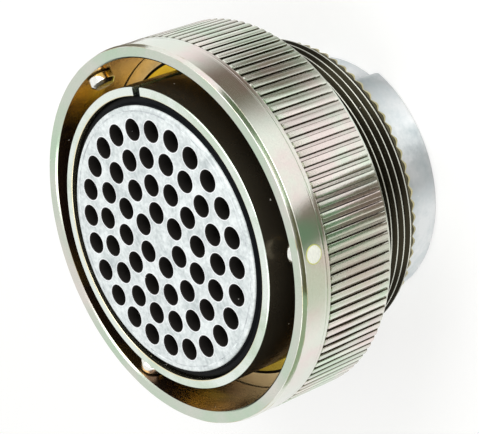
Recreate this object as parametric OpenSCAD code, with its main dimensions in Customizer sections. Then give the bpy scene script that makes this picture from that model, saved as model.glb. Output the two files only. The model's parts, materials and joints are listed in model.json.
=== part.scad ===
// Circular connector plug with a bayonet coupling ring, standing on its wire grommet.
// Z runs along the plug's axis and out of the mating face, and Y points at the key.

/* [Contact cavities] */
// Diameter of a contact cavity
cavity_d = 3.9; // [3.4:0.05:4.4]
// Wall left between two cavities on one radius
cavity_web = 1.16; // [0.9:0.02:1.6]
// Wall left between the outermost cavities and the insert's edge
edge_wall = 2.31; // [1.8:0.01:3]
// Edge break at a cavity's mouth
mouth_break = 0.12; // [0.05:0.01:0.2]
// Wall of a retention clip
clip_t = 0.3; // [0.2:0.05:0.4]
// Slit in a retention clip
clip_slit = 0.6; // [0.3:0.1:1.2]
// Plate left behind a clip
clip_floor = 0.8; // [0.5:0.1:1.2]

/* [Plug shell] */
// Length of the shell, from its rear teeth to the barrel's rim
shell_len = 35.75; // [34:0.05:42]
// Width of the seal's groove between the insert and the barrel
seal_w = 1.65; // [1.2:0.05:2.4]
// Wall of the barrel that enters the mating half
barrel_wall = 1.65; // [1.2:0.05:2.4]
// Depth of the mating gap, from the barrel's rim to the step
mating_depth = 14.35; // [13:0.05:16]
// Width of the step at the bottom of the mating gap
step_w = 1.7; // [1.4:0.05:2.4]
// Height of the step above the flange
step_h = 1.2; // [0.8:0.1:1.4]
// Width of the flange that carries the coupling ring, outside the step
flange_w = 2.7; // [2:0.1:3.6]
// Thickness of the flange
flange_t = 2.2; // [1.6:0.1:3]
// How far the rear bore is wider than the insert, all round
stack_step = 1.5; // [1:0.05:2]
// Wall of the toothed rear rim
rim_wall = 1.5; // [1.2:0.05:2]
// Length of the rim behind the thread
rim_len = 1.75; // [1.3:0.05:2.2]
// Height of the accessory thread's crest above the rim
thread_rise = 1.075; // [0.8:0.005:1.2]
// Length of the accessory thread with its relief
thread_len = 11.2; // [9:0.1:12]
// Pitch of the accessory thread
thread_pitch = 1.5875; // [1.2:0.0005:1.8]
// Depth of the accessory thread
thread_depth = 0.97; // [0.6:0.01:1]
// Height of the coupling ring's journal above the thread's crest
journal_rise = 0.305; // [0.1:0.005:0.4]
// Width of the keyway in the barrel
key_w = 1.6; // [1:0.1:3]
// Length of the keyway from the barrel's rim
key_len = 11.5; // [6:0.5:12]
// Edge break on the barrel's rim
rim_chamfer = 0.3; // [0.1:0.05:0.5]

/* [Rear teeth] */
// Number of teeth on the rear rim
tooth_count = 72; // [48:1:90]
// Height of a tooth
tooth_h = 0.8; // [0.5:0.05:1.2]
// Flat at the top of a tooth
tooth_flat = 0.45; // [0.2:0.05:0.8]

/* [Coupling ring] */
// Gap between the shell's flange and the ring's bore
flange_clear = 0.4; // [0.3:0.05:0.6]
// Wall of the ring's smooth front band
band_wall = 2.3; // [2:0.05:3]
// Height of the knurl's ridges above the band
knurl_rise = 0.1; // [0.05:0.05:0.4]
// How far the ring's front face sits behind the barrel's rim
ring_setback = 1.25; // [0.4:0.05:3]
// Length of the smooth band, from the front face to the knurl
band_len = 6.5; // [5.6:0.1:9]
// Number of ridges in the knurl
knurl_count = 120; // [60:1:140]
// Depth of the knurl
knurl_depth = 0.55; // [0.3:0.05:0.8]
// Share of the pitch that a ridge's flat top takes
knurl_land = 0.54; // [0.3:0.02:0.6]
// Share of the pitch that a groove's flat floor takes
knurl_floor = 0.24; // [0.1:0.02:0.3]
// Length of the plain collar behind the knurl
collar_len = 0.4; // [0.2:0.1:1]
// Thickness of the web that closes the ring's rear
web_t = 1.85; // [1.4:0.05:3]
// Length of the taper at the front of the band
nose_len = 0.93; // [0.5:0.01:1.5]
// Drop of the taper at the front of the band
nose_drop = 0.2; // [0.1:0.05:0.5]
// Chamfer at the mouth of the ring's bore
mouth_chamfer = 0.5; // [0.1:0.05:0.8]
// Width of the turned line between band and knurl
line_w = 0.4; // [0.2:0.05:0.8]
// Depth of the turned line between band and knurl
line_depth = 0.15; // [0.05:0.05:0.3]
// Distance from the knurl to the turned line
line_gap = 0.9; // [0.5:0.1:1.5]

/* [Bayonet pins] */
// Diameter of a bayonet pin's shank in the ring's wall
pin_d = 3.4; // [2.6:0.1:3.6]
// Width of the shoulder between a pin's shank and its head in the bore
pin_shoulder = 0.65; // [0.2:0.05:0.8]
// Distance from the ring's front face to a pin's axis
pin_setback = 3.2; // [2.6:0.1:3.6]
// How far a pin stands into the ring's bore
pin_reach = 2.3; // [1.4:0.1:2.8]
// Chamfer at a pin's inner end
pin_chamfer = 0.6; // [0.2:0.1:0.9]

/* [Coupling spring] */
// Thickness of the retaining ring
retain_t = 1.2; // [0.8:0.1:1.6]
// Depth of the retaining ring's groove in the coupling ring
retain_groove = 0.6; // [0.3:0.05:0.8]
// Gap between the retaining ring and the shell's step
retain_gap = 0.4; // [0.3:0.05:0.8]
// Free height of the wave spring
spring_h = 1.8; // [1.4:0.1:2.6]
// Thickness of the spring strip
spring_t = 0.5; // [0.3:0.05:0.7]
// Number of waves around the spring
spring_waves = 3; // [3:1:6]
// Thickness of the thrust washer
washer_t = 0.8; // [0.5:0.1:1.4]

/* [Insert stack] */
// How far the insert stands out of the barrel
insert_proud = 0.25; // [0.1:0.05:1]
// Edge break on the insert's face
insert_chamfer = 0.3; // [0.1:0.05:0.6]
// Depth from the barrel's rim to the rib that carries the seal
rib_depth = 13.25; // [11:0.05:14]
// Thickness of that rib
rib_t = 2; // [1.2:0.1:2.6]
// How far the seal's rounded lip lies below the barrel's rim
seal_recess = 0.9; // [0.4:0.1:3]
// Thickness of the front insert's flange
insert_flange_t = 4.5; // [3:0.1:6]
// Thickness of the retention plate
plate_t = 5; // [4:0.1:6]
// Distance from the insert's edge to the moulded line on its face
face_line_inset = 0.95; // [0.7:0.05:1.4]
// Width of the moulded line
face_line_w = 0.25; // [0.1:0.05:0.4]

/* [Wire grommet] */
// Length of the grommet behind the shell's teeth
tail_len = 9; // [6:0.5:14]
// Gap between the shell's rear bore and the grommet's tail
tail_gap = 1.75; // [1.4:0.05:2.2]
// Depth of the relief on the tail's key side
relief_depth = 1.8; // [1:0.1:2]
// Angle that the relief takes around the tail
relief_angle = 65; // [40:1:90]
// Rounding of the tail's rear edge
tail_round = 0.8; // [0.3:0.1:1.2]
// Diameter of a wire hole
wire_d = 2.6; // [1.6:0.1:3]
// Flare at a wire hole's mouth
wire_flare = 0.2; // [0.1:0.05:0.3]
// Distance from the shell's teeth to the insert retainer
retainer_setback = 2.5; // [2:0.1:4]
// Thickness of the insert retainer
retainer_t = 1.5; // [1:0.1:2]
// Depth of the retainer's groove in the shell
retainer_groove = 0.7; // [0.4:0.05:0.8]
// Slit in the insert retainer
retainer_slit = 4; // [2:0.5:8]

/* [Fits] */
// Radial clearance of a running fit
run_fit = 0.07; // [0.02:0.01:0.1]
// Radial clearance of a loose fit
loose_fit = 0.2; // [0.1:0.05:0.4]
// Radial clearance of a close fit
close_fit = 0.05; // [0.02:0.01:0.1]
// Gap between flat faces that move on each other
face_gap = 0.1; // [0.05:0.01:0.2]

/* [Hidden] */
$fn = 96;

// Three pins and four circles of contacts, each with nodes of its own
pin_count = 3;
circle_count = 4;
key_angle = 90;
// How far a cutter runs past the faces that it cuts
over = 1;
// Facets in a quarter turn of a rounded edge
round_steps = 8;

// Heights along the axis, from the grommet's rear face up
shell_rear = tail_len;
thread_rear = shell_rear + rim_len;
thread_front = thread_rear + thread_len;
rim_z = shell_rear + shell_len;
step_z = rim_z - mating_depth;
flange_top = step_z - step_h;
flange_bottom = flange_top - flange_t;
insert_face = rim_z + insert_proud;
rib_top = rim_z - rib_depth;
rib_bottom = rib_top - rib_t;
plate_top = rib_bottom - insert_flange_t;
plate_bottom = plate_top - plate_t;
retainer_bottom = shell_rear + retainer_setback;
retainer_top = retainer_bottom + retainer_t;
retain_bottom = flange_top + face_gap;
retain_top = retain_bottom + retain_t;
washer_top = flange_bottom - spring_h;
washer_bottom = washer_top - washer_t;
web_top = washer_bottom - face_gap;
ring_rear = web_top - web_t;
ring_front = rim_z - ring_setback;
knurl_front = ring_front - band_len;
knurl_rear = ring_rear + collar_len;
pin_z = ring_front - pin_setback;

// Diameters from the contacts outwards, as the contacts set the size of the shell
contact_pitch = cavity_d + cavity_web;
insert_d = 2 * (circle_count * contact_pitch + cavity_d / 2 + edge_wall);
barrel_id = insert_d + 2 * seal_w;
barrel_od = barrel_id + 2 * barrel_wall;
step_d = barrel_od + 2 * step_w;
flange_d = step_d + 2 * flange_w;
ring_bore_d = flange_d + 2 * flange_clear;
band_d = ring_bore_d + 2 * band_wall;
knurl_d = band_d + 2 * knurl_rise;
rear_bore_d = insert_d + 2 * stack_step;
rim_d = rear_bore_d + 2 * rim_wall;
thread_d = rim_d + 2 * thread_rise;
journal_d = thread_d + 2 * journal_rise;
tail_d = rear_bore_d - 2 * tail_gap;
relief_d = tail_d - 2 * relief_depth;
face_line_d = insert_d - 2 * face_line_inset;

// Radii that follow from the diameters
rib_r = insert_d / 2 + loose_fit;
stack_r = rear_bore_d / 2 - close_fit;
retainer_r = rear_bore_d / 2 + retainer_groove;
retain_r = ring_bore_d / 2 + retain_groove;
retain_in_r = step_d / 2 + retain_gap;
web_r = journal_d / 2 + run_fit;
washer_r = ring_bore_d / 2 - loose_fit;
spring_in_r = journal_d / 2 + 2 * loose_fit;
spring_out_r = flange_d / 2 - loose_fit;
groove_r = knurl_d / 2 - knurl_depth;
clip_r = cavity_d / 2 + clip_t;
tail_r = tail_d / 2;

// Thread of 60 degrees with a flat crest, and as many crests as leave room for a relief at the journal
thread_crest = thread_pitch / 8;
thread_flank = thread_depth * tan(30);
crest_count = floor((thread_len - thread_crest - thread_flank) / thread_pitch) + 1;

function on_circle(r, a) = [r * cos(a), r * sin(a)];

// Quarter turn of radius r around c, from angle a on
function quarter(c, r, a) = [for (i = [0 : round_steps]) c + on_circle(r, a + 90 * i / round_steps)];

// Circle k of contacts holds 6k cavities, and the outermost is turned by half its pitch
function circle_holes(k) = 6 * k;
function circle_turn(k) = k == circle_count ? 180 / circle_holes(k) : 0;
function hole_angle(k, i) = key_angle + circle_turn(k) + i * 360 / circle_holes(k);

// Ring of rectangular section between two radii and two heights
module tube(r_out, r_in, z0, z1) {
  rotate_extrude()
    translate([r_in, z0])
      square([r_out - r_in, z1 - z0]);
}

// Copies of the children at every cavity of circle k
module at_cavities(k) {
  for (i = [0 : circle_holes(k) - 1])
    translate(concat(on_circle(k * contact_pitch, hole_angle(k, i)), 0))
      children();
}

module at_all_cavities() {
  for (k = [1 : circle_count])
    at_cavities(k)
      children();
}

// Straight knurl: trapezoid ridges around a circle
module knurl_outline() {
  pitch = 360 / knurl_count;
  land = pitch * knurl_land / 2;
  foot = pitch * (1 - knurl_floor) / 2;
  ridge = [[groove_r, -foot], [knurl_d / 2, -land], [knurl_d / 2, land], [groove_r, foot]];
  polygon([
    for (i = [0 : knurl_count - 1], corner = ridge)
      on_circle(corner[0], i * pitch + corner[1])
  ]);
}

module coupling_ring_body() {
  band_r = band_d / 2;
  line_top = knurl_front + line_gap + line_w;
  rotate_extrude()
    polygon([
      [ring_bore_d / 2, knurl_front],
      [band_r, knurl_front],
      [band_r, line_top - line_w],
      [band_r - line_depth, line_top - line_w / 2],
      [band_r, line_top],
      [band_r, ring_front - nose_len],
      [band_r - nose_drop, ring_front],
      [ring_bore_d / 2 + mouth_chamfer, ring_front],
      [ring_bore_d / 2, ring_front - mouth_chamfer]
    ]);
  difference() {
    translate([0, 0, knurl_rear])
      linear_extrude(knurl_front - knurl_rear)
        knurl_outline();
    translate([0, 0, knurl_rear - over])
      cylinder(d = ring_bore_d, h = knurl_front - knurl_rear + 2 * over);
  }
  rotate_extrude()
    polygon([
      [web_r, ring_rear],
      [groove_r, ring_rear],
      [groove_r, knurl_rear],
      [ring_bore_d / 2, knurl_rear],
      [ring_bore_d / 2, web_top],
      [web_r, web_top]
    ]);
}

module coupling_ring() {
  color("#a9aea6")
    difference() {
      coupling_ring_body();
      tube(retain_r + close_fit, retain_in_r, retain_bottom, retain_top + close_fit);
      for (i = [0 : pin_count - 1])
        rotate([0, 0, i * 360 / pin_count])
          translate([ring_bore_d / 2 - pin_reach, 0, pin_z])
            rotate([0, 90, 0])
              cylinder(d = pin_d, h = band_d);
    }
}

// Pin put in from the bore: chamfered head, shoulder against the bore, shank flush with the band
module bayonet_pin(i) {
  pin_r = pin_d / 2;
  head_r = pin_r + pin_shoulder;
  tip = ring_bore_d / 2 - pin_reach;
  seat = sqrt(pow(ring_bore_d / 2, 2) - pow(head_r, 2));
  color("#e4e6e4")
    rotate([0, 0, i * 360 / pin_count])
      translate([0, 0, pin_z])
        rotate([0, 90, 0])
          rotate_extrude()
            polygon([
              [0, tip],
              [head_r - pin_chamfer, tip],
              [head_r, tip + pin_chamfer],
              [head_r, seat],
              [pin_r, seat],
              [pin_r, band_d / 2],
              [0, band_d / 2]
            ]);
}

module retaining_ring() {
  color("#c7a258")
    tube(retain_r, retain_in_r, retain_bottom, retain_top);
}

module thrust_washer() {
  color("#b9b7ae")
    tube(washer_r, web_r + loose_fit, washer_bottom, washer_top);
}

// Closed strip whose height follows a cosine around the axis
module wave_spring() {
  steps = 24 * spring_waves;
  middle = (flange_bottom + washer_top) / 2;
  wave = (spring_h - spring_t) / 2 - close_fit;
  corners = [
    [spring_in_r, -spring_t / 2], [spring_out_r, -spring_t / 2],
    [spring_out_r, spring_t / 2], [spring_in_r, spring_t / 2]
  ];
  points = [
    for (i = [0 : steps - 1], c = corners)
      let (a = i * 360 / steps)
        concat(on_circle(c[0], a), middle + c[1] + wave * cos(spring_waves * a))
  ];
  faces = [
    for (i = [0 : steps - 1], j = [0 : 3])
      let (n = (i + 1) % steps, m = (j + 1) % 4)
        [4 * i + j, 4 * i + m, 4 * n + m, 4 * n + j]
  ];
  color("#8f8f88")
    polyhedron(points, faces, convexity = 6);
}

// One crest of the thread, from the foot of its rear flank to the foot of its front flank
function thread_ridge(z) = [
  [thread_d / 2 - thread_depth, z - thread_flank],
  [thread_d / 2, z],
  [thread_d / 2, z + thread_crest],
  [thread_d / 2 - thread_depth, z + thread_crest + thread_flank]
];

// The thread is drawn as plain grooves at its pitch
module shell_body() {
  rotate_extrude()
    polygon(concat([
      [rear_bore_d / 2, shell_rear],
      [rim_d / 2, shell_rear],
      [rim_d / 2, thread_rear - thread_flank]
    ], [
      for (i = [0 : crest_count - 1], corner = thread_ridge(thread_rear + i * thread_pitch))
        corner
    ], [
      [thread_d / 2 - thread_depth, thread_front],
      [journal_d / 2, thread_front],
      [journal_d / 2, flange_bottom],
      [flange_d / 2, flange_bottom],
      [flange_d / 2, flange_top],
      [step_d / 2, flange_top],
      [step_d / 2, step_z],
      [barrel_od / 2, step_z],
      [barrel_od / 2, rim_z - rim_chamfer],
      [barrel_od / 2 - rim_chamfer, rim_z],
      [barrel_id / 2 + rim_chamfer, rim_z],
      [barrel_id / 2, rim_z - rim_chamfer],
      [barrel_id / 2, rib_top],
      [rib_r, rib_top],
      [rib_r, rib_bottom],
      [rear_bore_d / 2, rib_bottom],
      [rear_bore_d / 2, retainer_top],
      [retainer_r, retainer_top],
      [retainer_r, retainer_bottom],
      [rear_bore_d / 2, retainer_bottom]
    ]));
}

// Notch between two teeth, as a short bar that crosses the rim's wall
module tooth_notch() {
  top_w = PI * rim_d / tooth_count - tooth_flat;
  slope = tooth_h / (top_w / 2);
  translate([rear_bore_d / 2 - over, 0, 0])
    rotate([90, 0, 90])
      linear_extrude(rim_wall + 2 * over)
        polygon([[-(tooth_h + over) / slope, -over], [0, tooth_h], [(tooth_h + over) / slope, -over]]);
}

module plug_shell() {
  color("#8d8f76")
    difference() {
      shell_body();
      rotate([0, 0, key_angle])
        translate([rib_r, -key_w / 2, rim_z - key_len])
          cube([barrel_od / 2 - rib_r + over, key_w, key_len + over]);
      for (i = [0 : tooth_count - 1])
        rotate([0, 0, i * 360 / tooth_count])
          translate([0, 0, shell_rear])
            tooth_notch();
    }
}

// Sleeve with a full round lip at its front
module peripheral_seal() {
  seal_in = insert_d / 2 + close_fit;
  seal_out = barrel_id / 2 - close_fit;
  lip_r = (seal_out - seal_in) / 2;
  lip = [seal_in + lip_r, rim_z - seal_recess - lip_r];
  color("#15181a")
    rotate_extrude()
      polygon(concat(
        [[seal_in, rib_top], [seal_out, rib_top]],
        quarter(lip, lip_r, 0),
        quarter(lip, lip_r, 90)
      ));
}

module front_insert() {
  color("#cfd2d4")
    difference() {
      rotate_extrude()
        polygon([
          [0, plate_top],
          [stack_r, plate_top],
          [stack_r, rib_bottom],
          [insert_d / 2, rib_bottom],
          [insert_d / 2, insert_face - insert_chamfer],
          [insert_d / 2 - insert_chamfer, insert_face],
          [face_line_d / 2 + face_line_w / 2, insert_face],
          [face_line_d / 2, insert_face - face_line_w / 2],
          [face_line_d / 2 - face_line_w / 2, insert_face],
          [0, insert_face]
        ]);
      at_all_cavities() {
        translate([0, 0, plate_top - over])
          cylinder(d = cavity_d, h = insert_face - plate_top + 2 * over, $fn = 32);
        translate([0, 0, insert_face - mouth_break])
          cylinder(d1 = cavity_d, d2 = cavity_d + 4 * mouth_break, h = 2 * mouth_break, $fn = 32);
      }
    }
}

module retention_plate() {
  color("#5b5e60")
    difference() {
      translate([0, 0, plate_bottom])
        cylinder(r = stack_r, h = plate_t);
      at_all_cavities() {
        translate([0, 0, plate_bottom - over])
          cylinder(d = cavity_d, h = plate_t + 2 * over, $fn = 32);
        translate([0, 0, plate_bottom + clip_floor])
          cylinder(r = clip_r, h = plate_t, $fn = 32);
      }
    }
}

// Split sleeve that lies flush with the cavity wall
module retention_clip() {
  clip_bottom = plate_bottom + clip_floor;
  difference() {
    tube(clip_r - close_fit / 2, cavity_d / 2, clip_bottom, plate_top);
    translate([0, -clip_slit / 2, clip_bottom - over])
      cube([clip_r + over, clip_slit, plate_t + 2 * over]);
  }
}

module retention_clips(k) {
  color("#c98f4a")
    at_cavities(k)
      retention_clip($fn = 32);
}

module wire_grommet() {
  relief_r = relief_d / 2;
  color("#bcc6c9")
    difference() {
      rotate_extrude()
        polygon(concat(
          [[0, 0]],
          quarter([tail_r - tail_round, tail_round], tail_round, -90),
          [[tail_r, retainer_top], [stack_r, retainer_top], [stack_r, plate_bottom], [0, plate_bottom]]
        ));
      rotate([0, 0, key_angle - relief_angle / 2])
        rotate_extrude(angle = relief_angle)
          translate([relief_r, -over])
            square([relief_depth + over, retainer_bottom]);
      at_all_cavities() {
        translate([0, 0, -over])
          cylinder(d = wire_d, h = plate_bottom + 2 * over, $fn = 32);
        translate([0, 0, -wire_flare])
          cylinder(d1 = wire_d + 4 * wire_flare, d2 = wire_d, h = 2 * wire_flare, $fn = 32);
      }
    }
}

module insert_retainer() {
  color("#9a9c98")
    difference() {
      tube(retainer_r - close_fit, tail_r + close_fit, retainer_bottom, retainer_top);
      rotate([0, 0, key_angle + 180])
        translate([0, -retainer_slit / 2, retainer_bottom - over])
          cube([retainer_r + over, retainer_slit, retainer_t + 2 * over]);
    }
}

coupling_ring();
bayonet_pin(0);  // bayonet_pin_1
bayonet_pin(1);  // bayonet_pin_2
bayonet_pin(2);  // bayonet_pin_3
retaining_ring();
wave_spring();
thrust_washer();
plug_shell();
peripheral_seal();
front_insert();
retention_plate();
retention_clips(1);  // retention_clips_1
retention_clips(2);  // retention_clips_2
retention_clips(3);  // retention_clips_3
retention_clips(4);  // retention_clips_4
wire_grommet();
insert_retainer();
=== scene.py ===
"""Dresses the circular connector plug with turned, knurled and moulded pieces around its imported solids."""

import json
import math

import bmesh
import bpy
from bpy.props import FloatProperty, FloatVectorProperty, IntProperty, PointerProperty
from mathutils import Matrix, Vector
from mathutils.geometry import delaunay_2d_cdt


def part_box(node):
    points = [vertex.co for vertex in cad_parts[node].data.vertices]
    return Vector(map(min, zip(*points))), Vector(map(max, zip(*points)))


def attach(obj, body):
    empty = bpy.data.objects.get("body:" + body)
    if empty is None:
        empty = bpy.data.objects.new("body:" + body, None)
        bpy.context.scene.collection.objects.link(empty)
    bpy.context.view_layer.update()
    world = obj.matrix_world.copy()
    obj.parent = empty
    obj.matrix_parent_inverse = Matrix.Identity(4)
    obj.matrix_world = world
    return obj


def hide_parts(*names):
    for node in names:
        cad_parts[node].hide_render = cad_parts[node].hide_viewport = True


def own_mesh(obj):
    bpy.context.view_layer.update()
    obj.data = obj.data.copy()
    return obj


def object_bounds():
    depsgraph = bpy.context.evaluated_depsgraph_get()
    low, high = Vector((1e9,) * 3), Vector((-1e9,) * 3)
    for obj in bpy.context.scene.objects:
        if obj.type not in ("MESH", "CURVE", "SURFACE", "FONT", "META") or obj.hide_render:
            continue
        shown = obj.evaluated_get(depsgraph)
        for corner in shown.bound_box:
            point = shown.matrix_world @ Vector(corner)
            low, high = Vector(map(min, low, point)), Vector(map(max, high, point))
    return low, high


bl_info = {
    "name": "Circular connector plug",
    "version": (1, 0, 0),
    "blender": (4, 5, 0),
    "location": "3D View > Sidebar > Plug",
    "description": "Builds the visible pieces of a bayonet connector plug around its packed solids",
    "category": "Object",
}

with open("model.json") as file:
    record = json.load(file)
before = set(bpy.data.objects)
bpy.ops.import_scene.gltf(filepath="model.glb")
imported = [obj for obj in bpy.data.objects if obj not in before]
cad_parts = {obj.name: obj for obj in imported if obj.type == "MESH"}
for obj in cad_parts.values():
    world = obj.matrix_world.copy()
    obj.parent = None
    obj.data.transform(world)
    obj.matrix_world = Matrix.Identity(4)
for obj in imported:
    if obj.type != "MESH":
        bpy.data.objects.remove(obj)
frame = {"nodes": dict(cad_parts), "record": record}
CAD_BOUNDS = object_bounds()
MOUNTS = {mount["name"]: mount for mount in frame["record"]["mounts"]}

MM = 0.001
# Vertices closer than this are one vertex
WELD = 0.001 * MM
# Edges that turn by more than this stay crisp
CRISP = math.radians(32)
# Faces whose normal lies this close to the axis are flat
LEVEL = 0.99999
# Steps in the arc of a rounded corner
ARC_STEPS = 4
# Columns of a turned piece, and of one with finer forms around it
COLUMNS = 240
FINE_COLUMNS = 360
# Sides of a cavity or wire hole
HOLE_SIDES = 32
# The key points along +Y
KEY = math.radians(90)
# Room around a spring ring in its groove
GROOVE_FIT = 0.05 * MM
WHITE = (1.0, 1.0, 1.0, 1.0)

RING_LOW, RING_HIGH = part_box("coupling_ring")
PIN_LOW, PIN_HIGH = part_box("bayonet_pin_1")
RETAIN_LOW, RETAIN_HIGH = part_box("retaining_ring")
SPRING_LOW, SPRING_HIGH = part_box("wave_spring")
SHELL_LOW, SHELL_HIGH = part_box("plug_shell")
SEAL_LOW, SEAL_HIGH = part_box("peripheral_seal")
INSERT_LOW, INSERT_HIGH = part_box("front_insert")
GROMMET_LOW, GROMMET_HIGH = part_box("wire_grommet")
RETAINER_LOW, RETAINER_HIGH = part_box("insert_retainer")
BARREL_R = MOUNTS["mating_barrel"]["dims"]["r_mm"] * MM
THREAD = MOUNTS["accessory_thread"]
THREAD_R = THREAD["dims"]["r_mm"] * MM
THREAD_REAR = THREAD["pos_m"][2] - THREAD["dims"]["length_mm"] / 2 * MM
CIRCLES = ("inner", "second", "third", "outer")

# Phase along one pitch, and share of the thread's depth, of the rows that draw a 60 degree thread
THREAD_SECTION = (
    (-0.040, 0.00), (0.040, 0.00), (0.085, 0.05), (0.405, 0.95),
    (0.445, 1.00), (0.555, 1.00), (0.595, 0.95), (0.915, 0.05),
)


def linear(hexcode):
    """Linear colour of an sRGB hex value."""
    channels = [int(hexcode[i:i + 2], 16) / 255 for i in (1, 3, 5)]
    return tuple(c / 12.92 if c <= 0.04045 else ((c + 0.055) / 1.055) ** 2.4 for c in channels)


def length(name, millimetres, description):
    return FloatProperty(
        name=name, description=description, default=millimetres * MM, min=0.0, unit="LENGTH"
    )


def angle(name, degrees, description):
    return FloatProperty(
        name=name, description=description, default=math.radians(degrees), subtype="ANGLE"
    )


def portion(name, part, description):
    return FloatProperty(
        name=name, description=description, default=part, min=0.0, max=1.0, subtype="FACTOR"
    )


def amount(name, number, description):
    return IntProperty(name=name, description=description, default=number, min=2)


def colour(name, hexcode, description):
    return FloatVectorProperty(
        name=name, description=description, default=linear(hexcode), size=3, min=0.0, max=1.0,
        subtype="COLOR",
    )


class PlugRingSizes(bpy.types.PropertyGroup):
    """Sizes of the coupling ring and its knurl, and of its retaining ring, pins and spring."""

    bore: length("Bore radius", 32.6, "Radius of the ring's bore")
    mouth: length("Mouth chamfer", 0.35, "Chamfer where the bore meets the front face")
    nose_len: length("Nose length", 0.93, "Length of the taper at the front of the band")
    nose_drop: length("Nose drop", 0.2, "Drop of that taper")
    nose_edge: length("Nose edge", 0.104, "Rounding of the worn edge where the taper meets the front face")
    burr: length("Burr", 0.05, "Height of the burr that turning left where the taper meets the band")
    band_len: length("Band length", 6.5, "Length of the smooth band from the front face to the knurl")
    line_gap: length("Line gap", 0.9, "Distance from the knurl to the turned line")
    line_width: length("Line width", 0.45, "Width of the turned line")
    line_depth: length("Line depth", 0.06, "Depth of the turned line")
    line_edge: length("Line edge", 0.04, "Rounding at both sides of the turned line")
    band_edge: length("Band edge", 0.3, "Rounding of the band where the knurl starts")
    ridges: amount("Ridges", 120, "Number of ridges in the knurl")
    knurl_depth: length("Knurl depth", 0.55, "Height of a ridge above the groove's floor")
    knurl_land: portion("Land", 0.54, "Share of the pitch on a ridge's top")
    knurl_floor: portion("Floor", 0.24, "Share of the pitch on a groove's floor")
    knurl_break: length("Knurl edge break", 0.1, "Height of the broken edge of a ridge")
    knurl_rise: length("Knurl rise", 0.38, "Length over which a ridge rises behind")
    knurl_fall: length("Knurl fall", 0.35, "Length over which a ridge falls off in front")
    knurl_sunk: length("Knurl overlap", 0.15, "How far a ridge reaches into the ring's own metal")
    collar: length("Collar", 0.4, "Length of the plain collar behind the knurl")
    web_bore: length("Web bore", 28.95, "Radius of the hole in the ring's rear web")
    web: length("Web", 1.85, "Thickness of the rear web")
    edge: length("Edge break", 0.08, "Rounding of the ring's turned edges")
    snap_reach: length("Snap ring reach", 2.3, "How far the retaining ring lies inside the shell's flange")
    snap_dish: length("Snap ring dish", 0.22, "How much lower the retaining ring's inner edge lies")
    snap_play: length("Snap ring play", 0.25, "Room above the retaining ring in its groove")
    pin_shank: length("Pin shank", 1.7, "Radius of a bayonet pin's shank in the ring's wall")
    pin_chamfer: length("Pin chamfer", 0.6, "Chamfer at a pin's inner end")
    pin_edge: length("Pin edge", 0.22, "Rounding of that chamfer's edges")
    pin_seat: length("Pin seat", 0.3, "Length of the stained metal at a pin's seat and at its outer end")
    pin_neck: length("Pin neck", 0.1, "How far a pin's head narrows at its seat")
    spring_strip: length("Spring strip", 2.72, "Width of the wave spring's strip")
    spring_thick: length("Spring thickness", 0.5, "Thickness of that strip")
    spring_waves: amount("Spring waves", 3, "Number of waves around the spring")


class PlugShellSizes(bpy.types.PropertyGroup):
    """Sizes of the turned shell, its thread and its teeth."""

    barrel_wall: length("Barrel wall", 1.65, "Wall of the barrel that enters the mating half")
    mating_depth: length("Mating depth", 14.35, "Depth of the mating gap below the barrel's rim")
    step_width: length("Step width", 1.7, "Width of the step at the bottom of the mating gap")
    step_height: length("Step height", 1.2, "Height of the step above the flange")
    flange: length("Flange", 2.2, "Thickness of the flange that carries the coupling ring")
    rib_depth: length("Rib depth", 13.25, "Depth of the inner rib below the barrel's rim")
    rib: length("Rib", 2.0, "Thickness of the inner rib")
    rib_bore: length("Rib bore", 24.7, "Radius of the hole in the inner rib")
    rear_bore: length("Rear bore", 26.0, "Radius of the rear bore")
    rim: length("Rim radius", 27.5, "Outer radius of the toothed rear rim")
    journal: length("Journal radius", 28.88, "Radius of the journal that the coupling ring turns on")
    thread_len: length("Thread length", 11.2, "Length of the accessory thread with its relief")
    pitch: length("Thread pitch", 1.5875, "Distance between two crests of the accessory thread")
    thread_depth: length("Thread depth", 0.974, "Height of the crest above the root")
    relief: length("Thread relief", 0.3, "Plain groove between the thread and the journal")
    lead_in: length("Thread lead-in", 0.5, "How far the thread's first turn starts behind its first crest")
    bevel: length("Thread bevel", 0.1, "Bevel at both ends of the thread")
    teeth: amount("Teeth", 72, "Number of teeth on the rear rim")
    tooth_foot: length("Tooth foot", 0.5, "Length of the worn metal at the teeth")
    tooth_height: length("Tooth height", 0.8, "Height of a tooth")
    tooth_flat: length("Tooth flat", 0.45, "Flat at the top of a tooth")
    key_width: length("Keyway width", 1.6, "Width of the keyway in the barrel")
    key_len: length("Keyway length", 11.5, "Length of the keyway from the barrel's rim")
    key_blend: angle("Keyway blend", 10, "Angle beside the keyway over which the mesh is drawn in")
    edge: length("Edge break", 0.12, "Rounding of the shell's turned edges")
    rim_edge: length("Rim edge", 0.32, "Rounding of the barrel's rim")
    bore_edge: length("Bore edge", 1.024, "Depth of the cream film on the edge of the barrel's bore")


class PlugInsertSizes(bpy.types.PropertyGroup):
    """Sizes of the front insert and the seal around it."""

    radius: length("Insert radius", 24.5, "Radius of the insert at the mating face")
    flange: length("Insert flange", 4.5, "Thickness of the flange at the insert's foot")
    edge: length("Face edge", 0.35, "Rounding of the edge of the insert's face")
    line_inset: length("Line inset", 0.95, "Distance from the edge to the moulded line on the face")
    line_width: length("Line width", 0.3, "Width of the moulded line")
    line_depth: length("Line depth", 0.1, "Depth of the moulded line")
    lip: length("Cavity lip", 0.1, "Chamfer of a cavity's mouth")
    # Width of the painted highlight ring around each cavity's mouth
    lip_highlight: length("Cavity shine", 0.14, "Width of the shiny ring around a cavity's mouth")
    fit: length("Seal fit", 0.05, "Clearance between the seal and its neighbours")


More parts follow.
